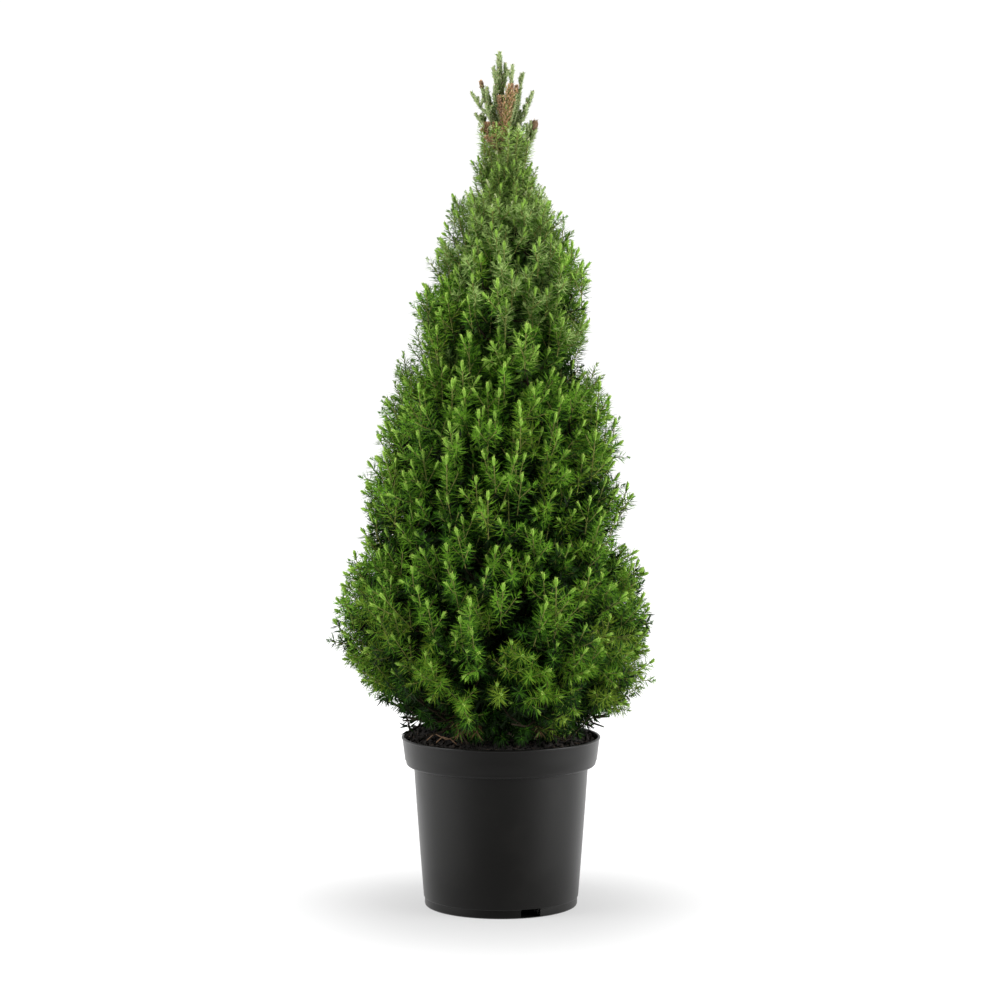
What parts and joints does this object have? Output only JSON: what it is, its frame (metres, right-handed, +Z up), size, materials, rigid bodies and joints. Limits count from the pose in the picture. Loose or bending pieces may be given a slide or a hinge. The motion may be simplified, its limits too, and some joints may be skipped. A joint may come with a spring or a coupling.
{
  "type": "potted dwarf spruce",
  "caption": "Cone-shaped dwarf spruce with a straight trunk, upswept boughs and dense masses of short needles, standing in a round black nursery pot of compost.",
  "frame": {"origin": "centre of the pot's flat underside, on the ground", "axes": "+Z up along the pot's axis and the trunk, -Y to the front, +X to the right seen from the front"},
  "size_m": [0.3695, 0.3616, 0.9843],
  "materials": {
    "black_plastic": "satin black moulded plastic",
    "peat": "moist crumbly compost",
    "bark": "rough grey-brown bark",
    "needles": "short green needles on tan twigs"
  },
  "bodies": {
    "root": {"bough_1_1": "bark", "bough_1_2": "bark", "bough_1_3": "bark", "bough_1_4": "bark", "bough_1_5": "bark", "bough_1_6": "bark", "bough_2_1": "bark", "bough_2_2": "bark", "bough_2_3": "bark", "bough_2_4": "bark", "bough_2_5": "bark", "bough_2_6": "bark", "bough_3_1": "bark", "bough_3_2": "bark", "bough_3_3": "bark", "bough_3_4": "bark", "bough_3_5": "bark", "bough_4_1": "bark", "bough_4_2": "bark", "bough_4_3": "bark", "bough_4_4": "bark", "bough_4_5": "bark", "compost": "peat", "mass_1_1": "needles", "mass_1_2": "needles", "mass_1_3": "needles", "mass_1_4": "needles", "mass_1_5": "needles", "mass_1_6": "needles", "mass_2_1": "needles", "mass_2_2": "needles", "mass_2_3": "needles", "mass_2_4": "needles", "mass_2_5": "needles", "mass_2_6": "needles", "mass_3_1": "needles", "mass_3_2": "needles", "mass_3_3": "needles", "mass_3_4": "needles", "mass_3_5": "needles", "mass_4_1": "needles", "mass_4_2": "needles", "mass_4_3": "needles", "mass_4_4": "needles", "mass_4_5": "needles", "mass_5_1": "needles", "mass_5_2": "needles", "mass_5_3": "needles", "mass_5_4": "needles", "mass_6_1": "needles", "mass_6_2": "needles", "mass_6_3": "needles", "mass_6_4": "needles", "mass_7_1": "needles", "mass_7_2": "needles", "mass_7_3": "needles", "mass_spire": "needles", "pot": "black_plastic", "trunk": "bark"}
  },
  "joints": []
}
